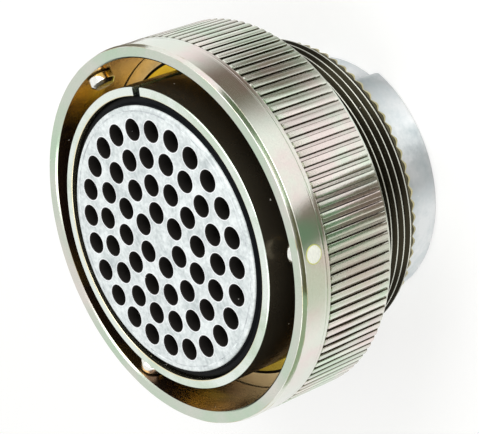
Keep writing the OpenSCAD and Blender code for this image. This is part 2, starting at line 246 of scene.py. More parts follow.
class PlugGrommetSizes(bpy.types.PropertyGroup):
    """Sizes of the wire grommet."""

    tail: length("Tail radius", 24.25, "Radius of the tail behind the shell")
    relief: length("Relief depth", 1.8, "Depth of the relief on the key side")
    relief_angle: angle("Relief angle", 65, "Angle that the relief takes around the tail")
    relief_blend: angle("Relief blend", 5.5, "Angle over which the relief runs out")
    edge: length("Rear edge", 0.8, "Rounding of the tail's rear edge")
    relief_edge: portion("Relief edge", 0.45, "Share of that rounding that is lost where the relief is")
    flare: length("Hole flare", 0.2, "Rounding of a wire hole's mouth")
    rib: length("Sealing rib", 0.25, "Height of the sealing rib inside a wire hole")
    rib_at: length("Rib place", 2.2, "Distance from the rear face to the sealing rib")
    rib_half: length("Rib half width", 0.6, "Half the width of the sealing rib")
    # Radii between which the painted reflection and shade bands set in
    bands_from: length("Handled from", 20, "Radius where the stains from hands set in")
    bands_full: length("Handled fully", 22, "Radius from which the stains have their full strength")


class PlugColours(bpy.types.PropertyGroup):
    """Colours of the plug's finishes."""

    face_green: colour("Green face", "#BACEB7", "Film on the ring's front face where it turns green")
    face_grey: colour("Grey face", "#C9CFC2", "Film on the ring's front face between its tints")
    face_pink: colour("Pink face", "#DAD4CC", "Film on the ring's front face where it turns pink")
    rim_green: colour("Green rim", "#CBDAC6", "Film on the barrel's rim where it turns green")
    rim_pale: colour("Pale rim", "#E6EEE6", "Film on the barrel's rim where it is thin")
    film_green: colour("Green film", "#CFDDCB", "Film on the band and knurl where it turns green")
    band_green: colour("Green band", "#DCE3D8", "Film on the band where it turns green")
    film_grey: colour("Grey film", "#DFE0D6", "Film on the band and knurl between its two tints")
    film_pink: colour("Pink film", "#E3D6D2", "Film on the band and knurl where it turns pink")
    bare: colour("Bare edge", "#F1F0E8", "Metal where the film is rubbed off")
    # Painted shade in the knurl's grooves and on the snap ring's inner edge
    hollow_shade: colour("Hollows", "#4C4634", "Film that stays dark in grooves")
    # Painted shade: nearly black in the thread's flanks and roots
    thread_root: colour("Thread root", "#1F1D15", "Film that stays nearly black in the thread")
    thread_crest: colour("Thread crest", "#BDBDB2", "Film on the thread's crests")
    cream: colour("Cream film", "#F0E7C4", "Film on the edge of the barrel's bore")
    gold: colour("Gold film", "#EDC162", "Thick film on the walls of the mating gap by the key")
    # Painted shade: the dark side of the gap, away from the key
    bronze: colour("Bronze film", "#7E6450", "Thick film on the walls of the mating gap far from the key")
    tan: colour("Tan film", "#FCE6AC", "Film on the retaining ring")
    yellow: colour("Yellow film", "#FFF264", "Film on the step of the shell")
    # Painted shade on the barrel's walls and at the pins' seats
    umber: colour("Umber film", "#565042", "Film on the barrel's outer wall")
    khaki: colour("Khaki film", "#BDB58E", "Film on the rear teeth")
    stake: colour("Stake film", "#E6E884", "Yellow-green film around a pin's outer end")
    steel: colour("Pin steel", "#FAFAF4", "Bright steel of the bayonet pins")
    spring: colour("Spring steel", "#8F8F88", "Steel of the hidden spring, washer and retainer")
    copper: colour("Clip copper", "#C98F5A", "Copper alloy of the contact clips")
    rubber: colour("Seal rubber", "#0B0E12", "Black rubber of the seal")
    insert: colour("Insert", "#EAF0EF", "Pale moulded insert")
    insert_shade: colour("Insert shade", "#B5BEBE", "Darker clouds in the insert")
    # Painted highlight around each cavity's mouth
    insert_lip: colour("Insert lip", "#F7F9FA", "Lip that the core left shiny around a cavity")
    # Painted shade in the moulded line of the insert
    insert_line: colour("Insert line", "#A4AAAD", "Dirt in the moulded line of the insert")
    # Painted shade inside the contact cavities
    cavity: colour("Cavity", "#1B1815", "Dark lining of the cavities")
    plate: colour("Plate", "#5B5E60", "Dark moulded retention plate")
    grommet: colour("Grommet", "#F6F9FA", "Pale rubber of the grommet")
    grommet_shade: colour("Grommet shade", "#C9D4D7", "Blue-grey clouds in the grommet")
    dust: colour("Dust", "#E9E8E2", "Specks of dust and lint")


class PlugStage(bpy.types.PropertyGroup):
    """Camera and light of the studio."""

    distance: length("Camera distance", 364.31, "Distance from the camera to the point that it looks at")
    azimuth: angle("Azimuth", 18.688, "Direction of the camera around the plug's axis, from +X")
    elevation: angle("Elevation", 36.896, "Height of the camera above the horizon")
    roll: angle("Roll", 110.94, "Turn of the camera about its line of sight")
    aim: FloatVectorProperty(
        name="Aim", description="Point that the camera looks at", size=3, subtype="TRANSLATION",
        unit="LENGTH", default=(0.342 * MM, -1.010 * MM, 27.024 * MM),
    )
    lens: FloatProperty(
        name="Lens", description="Focal length in millimetres", default=150.696, min=1.0, unit="CAMERA"
    )
    paper: colour("Paper", "#BEBEBC", "Pale floor of the studio")
    flag_teal: colour("Teal flag", "#718F74", "Dark card on the pin's side, which shapes the band")
    flag_olive: colour("Olive flag", "#5F714F", "Dark card far out, which the nose mirrors on the key's side")
    flag_dark: colour("Dark flag", "#55532F", "Dark card far out, which the taper at the ring's nose mirrors")
    flag_green: colour("Green flag", "#9DB592", "Green cards far out, on both sides of the dark one")
    flag_grey: colour("Grey flag", "#DDDFD0", "Paler card where the metal lightens below the pin")
    flag_brown: colour("Brown flag", "#7D7568", "Dark cards on the key's side, behind, and by the pin")


def add(tree, kind, inputs=(), stops=(), **settings):
    """Add a node with its settings, its linked or set inputs and, on a ramp, its colour stops."""
    node = tree.nodes.new(kind)
    for key, value in settings.items():
        setattr(node, key, value)
    for key, value in dict(inputs).items():
        if isinstance(value, bpy.types.NodeSocket):
            tree.links.new(value, node.inputs[key])
        else:
            node.inputs[key].default_value = value
    for i, (position, shade) in enumerate(stops):
        stop = node.color_ramp.elements[i] if i < 2 else node.color_ramp.elements.new(position)
        stop.position = position
        stop.color = (*shade, 1.0)
    return node


def emptied(owner):
    """Node tree of a material or a world, without its nodes."""
    owner.use_nodes = True
    owner.node_tree.nodes.clear()
    return owner.node_tree


def new_finish(name):
    """Empty material with its tree and the object's own coordinates."""
    finish = bpy.data.materials.new(name)
    tree = emptied(finish)
    return finish, tree, add(tree, "ShaderNodeTexCoord").outputs["Object"]


def tones(shade, *levels):
    """One colour at several levels of brightness."""
    return [tuple(channel * level for channel in shade) for level in levels]


def turn_about_axis(tree, coords):
    """Angle of a point around the plug's axis, from +X."""
    spot = add(tree, "ShaderNodeSeparateXYZ", {"Vector": coords})
    turn = {0: spot.outputs["Y"], 1: spot.outputs["X"]}
    return add(tree, "ShaderNodeMath", turn, operation="ARCTAN2").outputs[0]


def reach_from_axis(tree, coords):
    """Distance of a point from the plug's axis."""
    flat = add(tree, "ShaderNodeVectorMath", {0: coords, 1: (1.0, 1.0, 0.0)}, operation="MULTIPLY")
    return add(tree, "ShaderNodeVectorMath", {0: flat.outputs[0]}, operation="LENGTH").outputs["Value"]


def specks(tree, coords, cell_mm, size, share):
    """Mask of sparse round specks: one in some cells of a Voronoi pattern."""
    cells = add(tree, "ShaderNodeTexVoronoi", {"Vector": coords, "Scale": 1 / (cell_mm * MM)})
    near = add(tree, "ShaderNodeMapRange", {
        "Value": cells.outputs["Distance"], "From Min": size, "From Max": size * 0.7,
        "To Min": 0.0, "To Max": 1.0})
    lot = add(tree, "ShaderNodeSeparateColor", {"Color": cells.outputs["Color"]})
    drawn = add(tree, "ShaderNodeMath", {0: lot.outputs["Red"], 1: 1 - share}, operation="GREATER_THAN")
    both = {0: near.outputs["Result"], 1: drawn.outputs[0]}
    return add(tree, "ShaderNodeMath", both, operation="MULTIPLY").outputs[0]


def passivated_alloy(name, films, drift_mm, roughness=0.2, hollow_shade=None, wear=0.25, ridges=0, metal=1.0,
                     dusty=False, lean=None, pitted=0.12):
    """Turned alloy, plated and passivated. The film is thinner than light's wave in places, so a satin metal
    drifts between green, grey and pink. It is rubbed bright in nicks, and takes a painted shade in grooves,
    given as (floor radius, crest radius, shade colour, brightness at shares of the height between them). Each
    ridge of a knurl takes a tone of its own. Dust in a gap is matt, so its specks show in the dark. The film
    may lean: it then goes from its first tint to its last between two places along Y, towards the key, as a
    painted shade away from it."""
    if name in bpy.data.materials:
        return bpy.data.materials[name]
    finish, tree, coords = new_finish(name)
    film = add(tree, "ShaderNodeTexNoise", {
        "Vector": coords, "Scale": 1 / (drift_mm * MM), "Detail": 5.0, "Roughness": 0.58}).outputs["Fac"]
    if lean:
        spot = add(tree, "ShaderNodeSeparateXYZ", {"Vector": coords})
        shift = add(tree, "ShaderNodeMapRange", {
            "Value": spot.outputs["Y"], "From Min": lean[0], "From Max": lean[1],
            "To Min": -0.14, "To Max": 0.14})
        film = add(tree, "ShaderNodeMath", {0: film, 1: shift.outputs["Result"]}, operation="ADD").outputs[0]
    tint = add(tree, "ShaderNodeValToRGB", {"Fac": film},
               stops=[(0.36, films[0]), (0.64, films[2]), (0.5, films[1])])
    # Plating grain of about a quarter of a millimetre, coarser than the real one so that it shows
    grain = add(tree, "ShaderNodeTexNoise", {
        "Vector": coords, "Scale": 1 / (0.25 * MM), "Detail": 2.0, "Roughness": 0.6})
    shade = add(tree, "ShaderNodeMapRange", {"Value": grain.outputs["Fac"], "To Min": 0.86, "To Max": 1.1})
    base = add(tree, "ShaderNodeMix", {0: 1.0, 6: tint.outputs["Color"], 7: shade.outputs["Result"]},
               data_type="RGBA", blend_type="MULTIPLY").outputs[2]
    if ridges:
        turn = turn_about_axis(tree, coords)
        pitches = add(tree, "ShaderNodeMath", {0: turn, 1: ridges / math.tau}, operation="MULTIPLY")
        ridge = add(tree, "ShaderNodeMath", {0: pitches.outputs[0]}, operation="ROUND")
        lot = add(tree, "ShaderNodeTexWhiteNoise", {"W": ridge.outputs[0]}, noise_dimensions="1D")
        tone = add(tree, "ShaderNodeMapRange", {
            "Value": lot.outputs["Value"], "To Min": 0.9, "To Max": 1.12})
        base = add(tree, "ShaderNodeMix", {0: 1.0, 6: base, 7: tone.outputs["Result"]},
                   data_type="RGBA", blend_type="MULTIPLY").outputs[2]
    # Painted shade: darker down the flanks of a groove, by the distance from the axis
    if hollow_shade:
        floor, crest, dark, levels = hollow_shade
        rise = add(tree, "ShaderNodeMapRange", {
            "Value": reach_from_axis(tree, coords), "From Min": floor, "From Max": crest})
        unshaded = add(tree, "ShaderNodeValToRGB", {"Fac": rise.outputs["Result"]},
                    stops=[(position, (level,) * 3) for position, level in levels])
        base = add(tree, "ShaderNodeMix", {0: unshaded.outputs["Color"], 6: (*dark, 1.0), 7: base},
                   data_type="RGBA").outputs[2]
    nicks = specks(tree, coords, 2.4, 0.07, wear) if dusty else specks(tree, coords, 1.7, 0.075, wear)
    bare = (*bpy.context.scene.plug_colours.bare, 1.0)
    base = add(tree, "ShaderNodeMix", {0: nicks, 6: base, 7: bare}, data_type="RGBA").outputs[2]
    # Smears of about five millimetres, where handling polished or dulled the film
    smear = add(tree, "ShaderNodeTexNoise", {"Vector": coords, "Scale": 1 / (5 * MM), "Detail": 3.0})
    gloss = add(tree, "ShaderNodeMapRange", {
        "Value": smear.outputs["Fac"], "To Min": roughness - 0.05, "To Max": roughness + 0.05})
    relief = add(tree, "ShaderNodeBump", {
        "Height": grain.outputs["Fac"], "Strength": pitted, "Distance": 0.02 * MM})
    if dusty:
        matt = add(tree, "ShaderNodeMapRange", {"Value": nicks, "To Min": metal, "To Max": 0.0})
        metal = matt.outputs["Result"]
    shader = add(tree, "ShaderNodeBsdfPrincipled", {
        "Base Color": base, "Metallic": metal, "Roughness": gloss.outputs["Result"],
        "Normal": relief.outputs["Normal"]})
    add(tree, "ShaderNodeOutputMaterial", {"Surface": shader.outputs["BSDF"]})
    return finish


def bright_metal(name, tone, roughness, grain_mm=0.4):
    """Drawn or rolled metal without a film: even, with faint streaks that blur its highlights."""
    if name in bpy.data.materials:
        return bpy.data.materials[name]
    finish, tree, coords = new_finish(name)
    streaks = add(tree, "ShaderNodeMapping", {"Vector": coords, "Scale": (1.0, 1.0, 6.0)})
    grain = add(tree, "ShaderNodeTexNoise", {
        "Vector": streaks.outputs["Vector"], "Scale": 1 / (grain_mm * MM), "Detail": 3.0})
    shade = add(tree, "ShaderNodeValToRGB", {"Fac": grain.outputs["Fac"]},
                stops=zip((0.3, 0.7), tones(tone, 0.82, 1.0)))
    gloss = add(tree, "ShaderNodeMapRange", {
        "Value": grain.outputs["Fac"], "To Min": roughness - 0.05, "To Max": roughness + 0.08})
    shader = add(tree, "ShaderNodeBsdfPrincipled", {
        "Base Color": shade.outputs["Color"], "Metallic": 1.0, "Roughness": gloss.outputs["Result"]})
    add(tree, "ShaderNodeOutputMaterial", {"Surface": shader.outputs["BSDF"]})
    return finish


def moulded(name, pale, dark, cloud_mm, roughness, specular=0.5, scatter=0.0, graininess=0.3, reflection_bands=(),
            band_radii=(0.0, 0.0)):
    """Moulded plastic or rubber: cloudy where the filler gathers and grainy where it shows at the skin, with
    specks of dust. Rubber that scatters light looks soft. Reflection bands are (degrees around the axis,
    brightness) of painted reflection and shade around the axis, and set in between the two given radii."""
    if name in bpy.data.materials:
        return bpy.data.materials[name]
    finish, tree, coords = new_finish(name)
    clouds = add(tree, "ShaderNodeTexNoise", {
        "Vector": coords, "Scale": 1 / (cloud_mm * MM), "Detail": 6.0, "Roughness": 0.62}).outputs["Fac"]
    # Filler grain of almost a millimetre, coarser than the real one so that it shows
    grain = add(tree, "ShaderNodeTexNoise", {
        "Vector": coords, "Scale": 1 / (0.8 * MM), "Detail": 3.0, "Roughness": 0.6})
    filler = add(tree, "ShaderNodeMix", {0: graininess, 2: clouds, 3: grain.outputs["Fac"]})
    base = add(tree, "ShaderNodeValToRGB", {"Fac": filler.outputs[0]},
               stops=[(0.36, dark), (0.6, pale)]).outputs["Color"]
    # Painted reflection and shade: brightness in bands around the axis
    if reflection_bands:
        wander = add(tree, "ShaderNodeMapRange", {"Value": clouds, "To Min": -0.2, "To Max": 0.2})
        turn = add(tree, "ShaderNodeMath", {
            0: turn_about_axis(tree, coords), 1: wander.outputs["Result"]}, operation="ADD")
        around = add(tree, "ShaderNodeMapRange", {
            "Value": turn.outputs[0], "From Min": -math.pi, "From Max": math.pi})
        places = [((degrees + 180) / 360, (level,) * 3) for degrees, level in reflection_bands]
        bands = add(tree, "ShaderNodeValToRGB", {"Fac": around.outputs["Result"]},
                  stops=[places[0], places[-1], *places[1:-1]])
        # The painted bands lie on the side, and not on the face between the wires
        on_side = add(tree, "ShaderNodeMapRange", {
            "Value": reach_from_axis(tree, coords), "From Min": band_radii[0], "From Max": band_radii[1]})
        base = add(tree, "ShaderNodeMix", {0: on_side.outputs["Result"], 6: base, 7: bands.outputs["Color"]},
                   data_type="RGBA", blend_type="MULTIPLY").outputs[2]
    dust = (*bpy.context.scene.plug_colours.dust, 1.0)
    base = add(tree, "ShaderNodeMix", {0: specks(tree, coords, 2.2, 0.05, 0.2), 6: base, 7: dust},
               data_type="RGBA").outputs[2]
    # Skin left by the mould's blasted wall, of a seventh of a millimetre so that it shows
    skin = add(tree, "ShaderNodeTexNoise", {"Vector": coords, "Scale": 1 / (0.15 * MM), "Detail": 2.0})
    relief = add(tree, "ShaderNodeBump", {
        "Height": skin.outputs["Fac"], "Strength": 0.2, "Distance": 0.02 * MM})
    gloss = add(tree, "ShaderNodeMapRange", {
        "Value": clouds, "To Min": roughness - 0.08, "To Max": roughness + 0.08})
    shader = add(tree, "ShaderNodeBsdfPrincipled", {
        "Base Color": base, "Roughness": gloss.outputs["Result"], "Normal": relief.outputs["Normal"],
        "Specular IOR Level": specular, "Subsurface Weight": scatter,
        "Subsurface Radius": (2 * MM, 2 * MM, 2 * MM), "Subsurface Scale": 1.0})
    add(tree, "ShaderNodeOutputMaterial", {"Surface": shader.outputs["BSDF"]})
    return finish


def even_columns(count):
    """Angles of the columns of a turned mesh, starting at the key."""
    return [KEY + math.tau * i / count for i in range(count)]


def rounded(corners):
    """Outline of (radius, height, zone) points from corners (radius, height, rounding, zone), with an arc for
    each rounding. A zone is the finish of the side that follows, and a fifth entry that of the arc."""
    outline = []
    for i, (radius, height, rounding, zone, *arc) in enumerate(corners):
        if not rounding:
            outline.append((radius, height, zone))
            continue
        here = Vector((radius, height))
        back = (Vector(corners[i - 1][:2]) - here).normalized()
        ahead = (Vector(corners[(i + 1) % len(corners)][:2]) - here).normalized()
        half = back.angle(ahead) / 2
        centre = here + (back + ahead).normalized() * rounding / math.sin(half)
        start = here + back * rounding / math.tan(half) - centre
        end = here + ahead * rounding / math.tan(half) - centre
        for step in range(ARC_STEPS + 1):
            spot = centre + start.slerp(end, step / ARC_STEPS).normalized() * rounding
            outline.append((spot.x, spot.y, arc[0] if arc and step < ARC_STEPS else zone))
    return outline


def turned(bm, outline, columns, closed=True, shape=None, gap=None, centre=(0.0, 0.0)):
    """Turn an outline round an axis and return its rings of vertices. A side whose zone is None stays open,
    shape moves a point by its angle, and gap leaves out single faces."""
    rings = []
    for radius, height, _ in outline:
        ring = []
        for turn in columns:
            r, z = shape(radius, height, turn) if shape else (radius, height)
            ring.append(bm.verts.new((centre[0] + r * math.cos(turn), centre[1] + r * math.sin(turn), z)))
        rings.append(ring)
    count = len(columns)
    for i in range(len(rings) if closed else len(rings) - 1):
        zone = outline[i][2]
        if zone is None:
            continue
        lower, upper = rings[i], rings[(i + 1) % len(rings)]
        for c in range(count):
            if gap and gap(i, c):
                continue
            n = (c + 1) % count
            bm.faces.new((lower[c], lower[n], upper[n], upper[c])).material_index = zone
    return rings


def perforated(bm, rim, holes, zone):
    """Fill the flat face between a rim of vertices and the rings of vertices around its holes."""
    loops = [rim, *holes]
    corners = [v for loop in loops for v in loop]
    edges = []
    for loop in loops:
        first = len(edges)
        edges += [(first + i, first + (i + 1) % len(loop)) for i in range(len(loop))]
    spots = [v.co.xy / MM for v in corners]
    # The triangles inside the rim, without those in the holes
    _, _, triangles, origins, _, _ = delaunay_2d_cdt(spots, edges, [], 1, 1e-6)
    inside = math.cos(math.pi / HOLE_SIDES)
    middles = [sum((v.co.xy for v in hole), Vector((0.0, 0.0))) / len(hole) for hole in holes]
    reach = [(hole[0].co.xy - middle).length * inside for hole, middle in zip(holes, middles)]
    for triangle in triangles:
        trio = [corners[origins[i][0]] for i in triangle]
        spot = sum((v.co.xy for v in trio), Vector((0.0, 0.0))) / 3
        if all((spot - middle).length > limit for middle, limit in zip(middles, reach)):
            bm.faces.new(trio).material_index = zone


def cavity_places(side):
    """Centres of the holes on one side, where the outermost circle is turned by half its pitch."""
    for name in CIRCLES:
        dims = MOUNTS[side + "_" + name]["dims"]
        pitch = math.tau / dims["count"]
        first = KEY + (pitch / 2 if name == CIRCLES[-1] else 0.0)
        radius = dims["pcd_mm"] / 2 * MM
        for i in range(dims["count"]):
            turn = first + i * pitch
            yield radius * math.cos(turn), radius * math.sin(turn)


def bore_holes(bm, side, tunnel, rings, zone):
    """Turn the holes of one side of the insert stack, and fill the two faces that they run between."""
    columns = even_columns(HOLE_SIDES)
    holes = [turned(bm, tunnel, columns, closed=False, centre=spot) for spot in cavity_places(side)]
    for end in (0, -1):
        perforated(bm, rings[end], [hole[end] for hole in holes], zone)


def mesh_from(name, bm, finishes):
    """Close a mesh, point its faces outwards and shade it: flat faces flat, edges crisp, the rest smooth."""
    bmesh.ops.remove_doubles(bm, verts=bm.verts, dist=WELD)
    bmesh.ops.recalc_face_normals(bm, faces=bm.faces)
    mesh = bpy.data.meshes.new(name)
    bm.to_mesh(mesh)
    bm.free()
    for finish in finishes:
        mesh.materials.append(finish)
    mesh.shade_smooth()
    mesh.set_sharp_from_angle(angle=CRISP)
    for face in mesh.polygons:
        face.use_smooth = abs(face.normal.z) < LEVEL
    return mesh


def place(name, bm, finishes, body, nodes):
    """Make a mesh an object that rides on a body and stands for its solids."""
    piece = bpy.data.objects.new(name, mesh_from(name, bm, finishes))
    bpy.context.scene.collection.objects.link(piece)
    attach(piece, body)
    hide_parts(*nodes)
    return piece


def ridge_mesh(sizes, top, floor, rear, front):
    """One ridge of the knurl at angle zero: a trapezoid bar with broken edges, sunk into the ring."""
    pitch = math.tau / sizes.ridges
    foot = pitch * (1 - sizes.knurl_floor) / 2
    land = pitch * sizes.knurl_land / 2
    sunk = floor - sizes.knurl_sunk
    shoulder = sizes.knurl_break

    def section(height, crest):
        low = min(floor, crest - shoulder)
        # Radius and half angle up one flank, over the broken edge and onto the land
        half = [(sunk, foot), (low, foot), (crest - shoulder, land * 1.05),
                (crest - 0.3 * shoulder, land * 0.96), (crest, land * 0.78)]
        whole = half + [(r, -a) for r, a in reversed(half)]
        return [(r * math.cos(a), r * math.sin(a), height) for r, a in whole]

    bm = bmesh.new()
    stations = [
        (rear, floor + shoulder), (rear + sizes.knurl_rise, top),
        (front - sizes.knurl_fall, top), (front, top - shoulder),
    ]
    rings = [[bm.verts.new(spot) for spot in section(*station)] for station in stations]
    for lower, upper in zip(rings, rings[1:]):
        for i in range(len(lower)):
            n = (i + 1) % len(lower)
            bm.faces.new((lower[i], lower[n], upper[n], upper[i]))
    bm.faces.new(rings[0])
    bm.faces.new(rings[-1])
    return mesh_from("knurl_ridge", bm, [])


def around_axis(ridge, count, finish):
    """Mesh of a bar repeated around the axis with Geometry Nodes."""
    tree = bpy.data.node_groups.new("KnurlAroundRing", "GeometryNodeTree")
    tree.is_modifier = True
    bar = tree.interface.new_socket("Ridge", in_out="INPUT", socket_type="NodeSocketObject")
    ridges = tree.interface.new_socket("Ridges", in_out="INPUT", socket_type="NodeSocketInt")
    tree.interface.new_socket("Geometry", in_out="OUTPUT", socket_type="NodeSocketGeometry")
    given = add(tree, "NodeGroupInput")
    points = add(tree, "GeometryNodePoints", {"Count": given.outputs["Ridges"]})
    index = add(tree, "GeometryNodeInputIndex")
    pitch = add(tree, "ShaderNodeMath", {0: math.tau, 1: given.outputs["Ridges"]}, operation="DIVIDE")
    turn = add(tree, "ShaderNodeMath", {0: index.outputs[0], 1: pitch.outputs[0]}, operation="MULTIPLY")
    spin = add(tree, "ShaderNodeCombineXYZ", {"Z": turn.outputs[0]})
    source = add(tree, "GeometryNodeObjectInfo", {"Object": given.outputs["Ridge"]})
    copies = add(tree, "GeometryNodeInstanceOnPoints", {
        "Points": points.outputs["Points"], "Instance": source.outputs["Geometry"],
        "Rotation": spin.outputs[0]})
    real = add(tree, "GeometryNodeRealizeInstances", {"Geometry": copies.outputs["Instances"]})
    dressed = add(tree, "GeometryNodeSetMaterial", {
        "Geometry": real.outputs["Geometry"], "Material": finish})
    add(tree, "NodeGroupOutput", {"Geometry": dressed.outputs["Geometry"]})

    template = bpy.data.objects.new("knurl_ridge", ridge)
    carrier = bpy.data.objects.new("knurl_carrier", bpy.data.meshes.new("knurl_carrier"))
    for item in (template, carrier):
        bpy.context.scene.collection.objects.link(item)
    knurl = carrier.modifiers.new("Knurl", "NODES")
    knurl.node_group = tree
    knurl[bar.identifier] = template
    knurl[ridges.identifier] = count
    ready = bpy.context.evaluated_depsgraph_get()
    mesh = bpy.data.meshes.new_from_object(carrier.evaluated_get(ready))
    for item in (template, carrier):
        bpy.data.objects.remove(item)
    return mesh


class PLUG_OT_stage(bpy.types.Operator):
    """Set up the pale floor, the soft lights, the dark cards and the camera"""

    bl_idname = "plug.stage"
    bl_label = "Studio"

    # Strength of the white sky as a light, and of the paper's lift where it is seen directly
    sky_light = 0.62
    paper_lift = 0.52
    # Half the floor's width, its distance below the plug, and the distance from card to card
    floor_half = 3.0
    floor_gap = 0.02 * MM
    card_gap = 0.5 * MM
    # Steps along the arc of a far card
    arc_steps = 24
    sensor_width = 36.0
    clip_start = 0.01

    def execute(self, context):
        scene = context.scene
        stage = scene.plug_stage
        scene.view_settings.view_transform = "Standard"
        self.build_world(scene)
        self.build_floor(scene, stage)
        self.build_lights(scene)
        self.build_flags(scene, stage)
        self.build_camera(scene, stage)
        return {"FINISHED"}

    def seen_directly(self, tree):
        """One for rays from the eye, and from metal that mirrors, and zero for the light that falls."""
        rays = add(tree, "ShaderNodeLightPath").outputs
        seen = {0: rays["Is Camera Ray"], 1: rays["Is Glossy Ray"]}
        seen = {0: add(tree, "ShaderNodeMath", seen, operation="MAXIMUM").outputs[0],
                1: rays["Is Transmission Ray"]}
        return add(tree, "ShaderNodeMath", seen, operation="MAXIMUM").outputs[0]

    def build_world(self, scene):
        scene.world = bpy.data.worlds.new("studio")
        tree = emptied(scene.world)
        strength = add(tree, "ShaderNodeMapRange", {
            "Value": self.seen_directly(tree), "To Min": self.sky_light, "To Max": 1.0})
        sky = add(tree, "ShaderNodeBackground", {"Color": WHITE, "Strength": strength.outputs["Result"]})
        add(tree, "ShaderNodeOutputWorld", {"Surface": sky.outputs["Background"]})

    def build_floor(self, scene, stage):
        # Paper sweep: matt white that takes the shadow, lifted to white where it is seen directly
        paper = bpy.data.materials.new("white paper sweep")
        tree = emptied(paper)
        lift = add(tree, "ShaderNodeMath", {0: self.seen_directly(tree), 1: self.paper_lift},
                   operation="MULTIPLY")
        glow = add(tree, "ShaderNodeEmission", {"Color": WHITE, "Strength": lift.outputs[0]})
        matt = add(tree, "ShaderNodeBsdfDiffuse", {"Color": (*stage.paper, 1.0)})
        both = add(tree, "ShaderNodeAddShader", {0: glow.outputs[0], 1: matt.outputs[0]})
        add(tree, "ShaderNodeOutputMaterial", {"Surface": both.outputs[0]})
        bm = bmesh.new()
        bmesh.ops.create_grid(bm, x_segments=1, y_segments=1, size=self.floor_half)
        spot = (0.0, 0.0, CAD_BOUNDS[0].z - self.floor_gap)
        self.set_out(scene, "studio_floor", bm, paper, spot)

    def set_out(self, scene, name, bm, finish, spot):
        """Make a mesh an object of the studio, which is no part of the plug."""
        item = bpy.data.objects.new(name, bpy.data.meshes.new(name))
        bm.to_mesh(item.data)
        bm.free()
        item.data.materials.append(finish)
        item.location = spot
        scene.collection.objects.link(item)
        return item

    def build_lights(self, scene):
        # Name, place, width and watts of each softbox, all aimed at the plug
        softboxes = (
            ("key_softbox", (0.12, 0.44, 0.36), 0.42, 1.7),
            ("fill_softbox", (0.34, -0.36, 0.40), 0.42, 1.1),
            ("side_softbox", (0.42, 0.24, 0.13), 0.30, 0.8),
        )
        middle = Vector((0.0, 0.0, 0.03))
        for name, spot, width, watts in softboxes:
            light = bpy.data.lights.new(name, "AREA")
            light.shape = "SQUARE"
            light.size = width
            light.energy = watts
            lamp = bpy.data.objects.new(name, light)
            lamp.location = spot
            lamp.rotation_euler = (middle - Vector(spot)).to_track_quat("-Z", "Y").to_euler()
            scene.collection.objects.link(lamp)

    def build_flags(self, scene, stage):
        # Soft-edged cards that only the metal reflects: centre and half sizes on the floor, turn in degrees
        # and share of the way to the centre over which a card fades
        cards = (
            ("flag_below_pin", (0.078, -0.032), (0.046, 0.055), 0.0, 0.8, stage.flag_grey),
            ("flag_pin_near", (0.070, 0.004), (0.032, 0.017), -5.0, 0.4, stage.flag_brown),
            ("flag_pin_side", (0.115, -0.007), (0.044, 0.021), -5.0, 0.22, stage.flag_teal),
            ("flag_key_side", (0.019, 0.079), (0.046, 0.052), 2.0, 0.8, stage.flag_brown),
        )
        lift = 0.0
        for name, spot, half, turn, soft, shade in cards:
            bm = bmesh.new()
            bmesh.ops.create_grid(bm, x_segments=1, y_segments=1, size=1.0)
            lift += self.card_gap
            card = self.lay_flag(scene, name, bm, (*spot, lift), shade, soft)
            card.rotation_euler.z = math.radians(turn)
            card.scale = (*half, 1.0)

        # The far cards are a ring's arcs, because the taper at the ring's nose mirrors the floor further out:
        # first and last angle in degrees, and reach from the axis
        arcs = (
            ("flag_far", -32, 13, (0.12, 0.6), stage.flag_dark),
            ("flag_far_key", 13, 50, (0.12, 0.6), stage.flag_green),
            ("flag_far_top", 50, 78, (0.12, 0.6), stage.flag_olive),
            ("flag_far_low", -85, -32, (0.12, 0.6), stage.flag_green),
            ("flag_back", 128, 178, (0.085, 0.16), stage.flag_brown),
            ("flag_back_near", 147, 178, (0.05, 0.085), stage.flag_brown),
        )
        for name, first, last, reaches, shade in arcs:
            steps = self.arc_steps
            turns = [math.radians(first + (last - first) * i / steps) for i in range(steps + 1)]
            bm = bmesh.new()
            near, far = ([bm.verts.new((reach * math.cos(turn), reach * math.sin(turn), 0.0))
                          for turn in turns] for reach in reaches)
            for i in range(steps):
                bm.faces.new((near[i], far[i], far[i + 1], near[i + 1]))
            self.lay_flag(scene, name, bm, (0.0, 0.0, lift), shade)

    def lay_flag(self, scene, name, bm, spot, shade, soft=0.0):
        """Lay a card just above the floor. A soft one fades out from its centre."""
        finish, tree, coords = new_finish(name.replace("_", " "))
        surface = add(tree, "ShaderNodeEmission", {"Color": (*shade, 1.0), "Strength": 1.0}).outputs[0]
        if soft:
            fade = add(tree, "ShaderNodeTexGradient", {"Vector": coords}, gradient_type="SPHERICAL")
            cover = add(tree, "ShaderNodeMapRange", {"Value": fade.outputs["Fac"], "From Max": soft},
                        interpolation_type="SMOOTHSTEP")
            clear = add(tree, "ShaderNodeBsdfTransparent")
            surface = add(tree, "ShaderNodeMixShader", {
                0: cover.outputs["Result"], 1: clear.outputs[0], 2: surface}).outputs[0]
        add(tree, "ShaderNodeOutputMaterial", {"Surface": surface})
        card = self.set_out(scene, name, bm, finish, spot)
        card.visible_camera = False
        card.visible_diffuse = False
        card.visible_shadow = False
        card.visible_transmission = False
        return card

    def build_camera(self, scene, stage):
        lens = bpy.data.cameras.new("photo_camera")
        lens.lens = stage.lens
        lens.sensor_width = self.sensor_width
        lens.clip_start = self.clip_start
        camera = bpy.data.objects.new("photo_camera", lens)
        outward = Vector((
            math.cos(stage.elevation) * math.cos(stage.azimuth),
            math.cos(stage.elevation) * math.sin(stage.azimuth),
            math.sin(stage.elevation),
        ))
        right = Vector((0.0, 0.0, 1.0)).cross(outward).normalized()
        up = outward.cross(right)
        top = up * math.cos(stage.roll) + right * math.sin(stage.roll)
        side = top.cross(outward)
        pose = Matrix((side, top, outward)).transposed().to_4x4()
        pose.translation = Vector(stage.aim) + outward * stage.distance
        camera.matrix_world = pose
        scene.collection.objects.link(camera)
        scene.camera = camera


